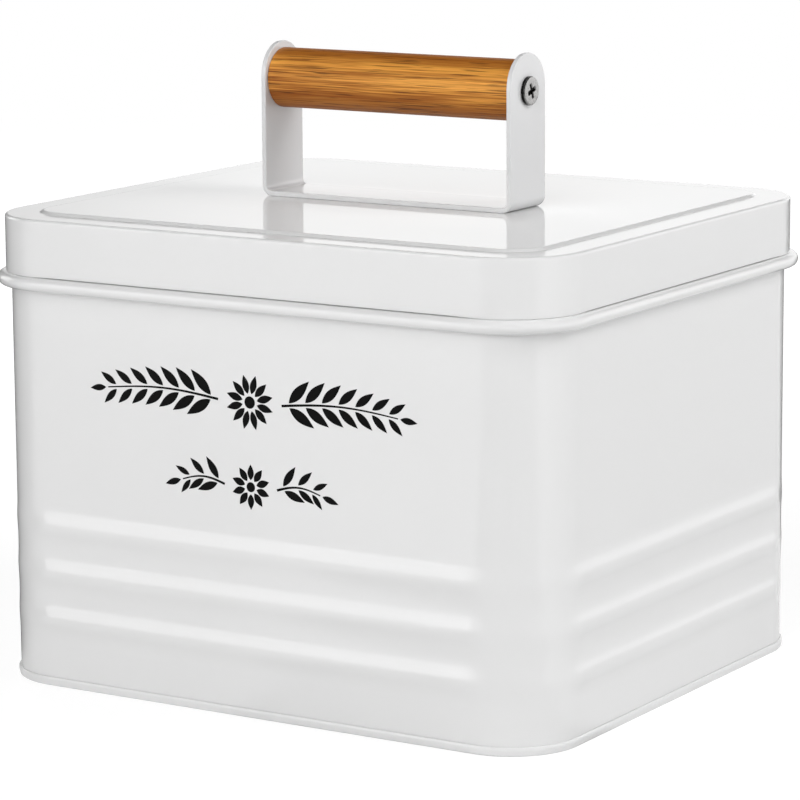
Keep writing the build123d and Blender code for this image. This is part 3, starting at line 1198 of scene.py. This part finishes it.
def screw_mesh(handle):
    """One screw along X, its head's underside at zero, with a cross recess sunk in its dome."""
    radius, top = handle.head / 2, handle.head_height
    shank = handle.shank / 2
    tip = -(screw_high.x - screw_low.x - top)
    face, face_rings = radius * 0.7, 40
    under = [(tip, 0.0), (tip, shank * 0.5), (tip + shank, shank), (0, shank)]
    edge = [(0, 0, 0), (0, radius, handle.head_round / 4), (top, radius, handle.head_round), (top, face, 0)]
    dome = [tuple(point) for point in rounded(edge, steps=8)[1:]]
    flat = [(top, face * (1 - step / face_rings)) for step in range(1, face_rings)]

    # Where the recess's walls slope, as parts of its slot and span, and how much shallower its ends are
    slot_slope = [handle.recess_slot * part for part in (0.36, 0.56)]
    span_slope = [handle.recess_span * part for part in (0.40, 0.50)]
    shallower = 0.55

    def sunk(along, across, up):
        """Depth of the cross recess at a place on the head, whose sides and ends slope."""
        if along < top - ON_AXIS:
            return 0
        off = math.hypot(across, up)
        turn = math.atan2(up, across) - handle.recess_turn
        first, second = off * math.cos(turn), off * math.sin(turn)
        depth = 0
        for out, aside in ((first, second), (second, first)):
            side = 1 - smooth_step(abs(aside), *slot_slope)
            depth = max(depth, side * (1 - smooth_step(abs(out), *span_slope)))
        return depth * handle.recess_depth * (1 - shallower * off / (handle.recess_span / 2))

    return turned("Screw", under + dome + flat + [(top, 0.0)], steps=96, sunk=sunk)


def smooth_step(value, start, end):
    """Nought before start, one after end, and smooth between."""
    part = min(1, max(0, (value - start) / (end - start)))
    return part * part * (3 - 2 * part)


class TIN_OT_print(bpy.types.Operator):
    """Print a plain ornament of rosettes and leafy sprigs on the front"""

    bl_idname = "tin.print"
    bl_label = "Front print"

    def execute(self, context):
        sizes = context.scene.tin_sizes
        mesh = print_mesh(context.scene.tin_print, -sizes.depth / 2)
        placed("Front_print", mesh, "tin")
        return {"FINISHED"}


def print_mesh(shapes, face_y):
    """The ornament: in each of two rows a rosette between two sprigs."""
    work = bmesh.new()

    def inked(outline):
        """One printed shape, from its outline across and up."""
        work.faces.new([work.verts.new((point.x, face_y - shapes.ink, point.y)) for point in outline])

    def heading(turn):
        """A step of one in a direction across and up."""
        return Vector((math.cos(turn), math.sin(turn)))

    def leaf(root, turn, length, width):
        """A pointed oval that grows from its root in a direction, widest just before its middle."""
        steps, belly = 14, 0.85
        half = [width / 2 * math.sin(math.pi * (step / steps) ** belly) for step in range(steps + 1)]
        middle = [root + heading(turn) * length * step / steps for step in range(steps + 1)]
        aside = heading(turn + math.pi / 2)
        upper = [point + aside * off for point, off in zip(middle, half)]
        lower = [point - aside * off for point, off in zip(middle[1:-1], half[1:-1])]
        inked(upper + lower[::-1])

    def rosette(row, reach, petals):
        """A disc with a ring of petals round it."""
        centre = Vector((0, row))
        disc, petal_root, petal_middle, petal_length, petal_share = 0.22, 0.31, 0.66, 0.69, 0.8
        width = math.tau * reach * petal_middle / petals * petal_share
        steps = 40
        inked([centre + heading(math.tau * step / steps) * reach * disc for step in range(steps)])
        for petal in range(petals):
            turn = math.tau * (petal + 0.5) / petals
            leaf(centre + heading(turn) * reach * petal_root, turn, reach * petal_length, width)

    def sprig(side, row, start, end, pairs, scale):
        """A bowed stem with pairs of leaves that shrink towards its tip."""

        def stem_at(part):
            """A place on the stem, from its foot to its tip."""
            across = side * (start + (end - start) * part)
            return Vector((across, row + shapes.bow * math.sin(math.pi * part)))

        def stem_turn(part):
            """The way that the stem runs."""
            ahead = stem_at(part + 0.01) - stem_at(part - 0.01)
            return math.atan2(ahead.y, ahead.x)

        steps, first_pair, tip_shrink, leaf_gap, tip_width = 30, 0.3, 0.4, 1.5, 0.6
        for step in range(steps):
            edges = []
            for part in (step / steps, (step + 1) / steps):
                off = heading(stem_turn(part) + math.pi / 2) * shapes.stem * (1 - part / 2) / 2
                edges.append((stem_at(part) + off, stem_at(part) - off))
            (root_left, root_right), (tip_left, tip_right) = edges
            inked([root_left, tip_left, tip_right, root_right])
        for pair in range(pairs):
            part = (pair + first_pair) / pairs
            shrink = scale * (1 - tip_shrink * part)
            for lean in (-shapes.lean, shapes.lean):
                turn = stem_turn(part) + lean
                root = stem_at(part) + heading(turn) * shapes.stem * leaf_gap
                leaf(root, turn, shapes.leaf * shrink, shapes.leaf_width * shrink)
        turn = stem_turn(1)
        leaf(stem_at(1) + heading(turn) * shapes.stem, turn, shapes.tip, shapes.leaf_width * tip_width)

    rosette(shapes.upper_row, shapes.upper_rosette, petals=12)
    rosette(shapes.lower_row, shapes.lower_rosette, petals=10)
    for side in (-1, 1):
        sprig(side, shapes.upper_row, shapes.upper_start, shapes.upper_end, pairs=7, scale=1)
        sprig(side, shapes.lower_row, shapes.lower_start, shapes.lower_end, pairs=3, scale=0.78)
    bmesh.ops.remove_doubles(work, verts=work.verts, dist=WELD / 2)
    bmesh.ops.triangulate(work, faces=work.faces)
    for face in work.faces:
        if face.normal.y > 0:
            face.normal_flip()
    mesh = bpy.data.meshes.new("Front_print")
    work.to_mesh(mesh)
    work.free()
    mesh.materials.append(ink_material())
    return mesh


OPERATORS = (
    TIN_OT_stage,
    TIN_OT_wall,
    TIN_OT_base,
    TIN_OT_lid,
    TIN_OT_strap,
    TIN_OT_grip,
    TIN_OT_screws,
    TIN_OT_print,
)


class TIN_PT_panel(bpy.types.Panel):
    """The tin's builders and their settings"""

    bl_idname = "TIN_PT_panel"
    bl_label = "Enamelled tin"
    bl_space_type = "VIEW_3D"
    bl_region_type = "UI"
    bl_category = "Tin"

    def draw(self, context):
        for operator in OPERATORS:
            self.layout.operator(operator.bl_idname)
        for name in GROUPS:
            box = self.layout.box()
            group = getattr(context.scene, name)
            for label in group.__annotations__:
                box.prop(group, label)


def register():
    for group in GROUPS.values():
        bpy.utils.register_class(group)
    for operator in OPERATORS:
        bpy.utils.register_class(operator)
    bpy.utils.register_class(TIN_PT_panel)
    for name, group in GROUPS.items():
        setattr(bpy.types.Scene, name, PointerProperty(type=group))


def unregister():
    for name in GROUPS:
        delattr(bpy.types.Scene, name)
    bpy.utils.unregister_class(TIN_PT_panel)
    for operator in reversed(OPERATORS):
        bpy.utils.unregister_class(operator)
    for group in reversed(GROUPS.values()):
        bpy.utils.unregister_class(group)


def main():
    register()
    for operator in OPERATORS:
        builder = getattr(bpy.ops.tin, operator.bl_idname.split(".")[1])
        builder()


if __name__ == "__main__":
    main()
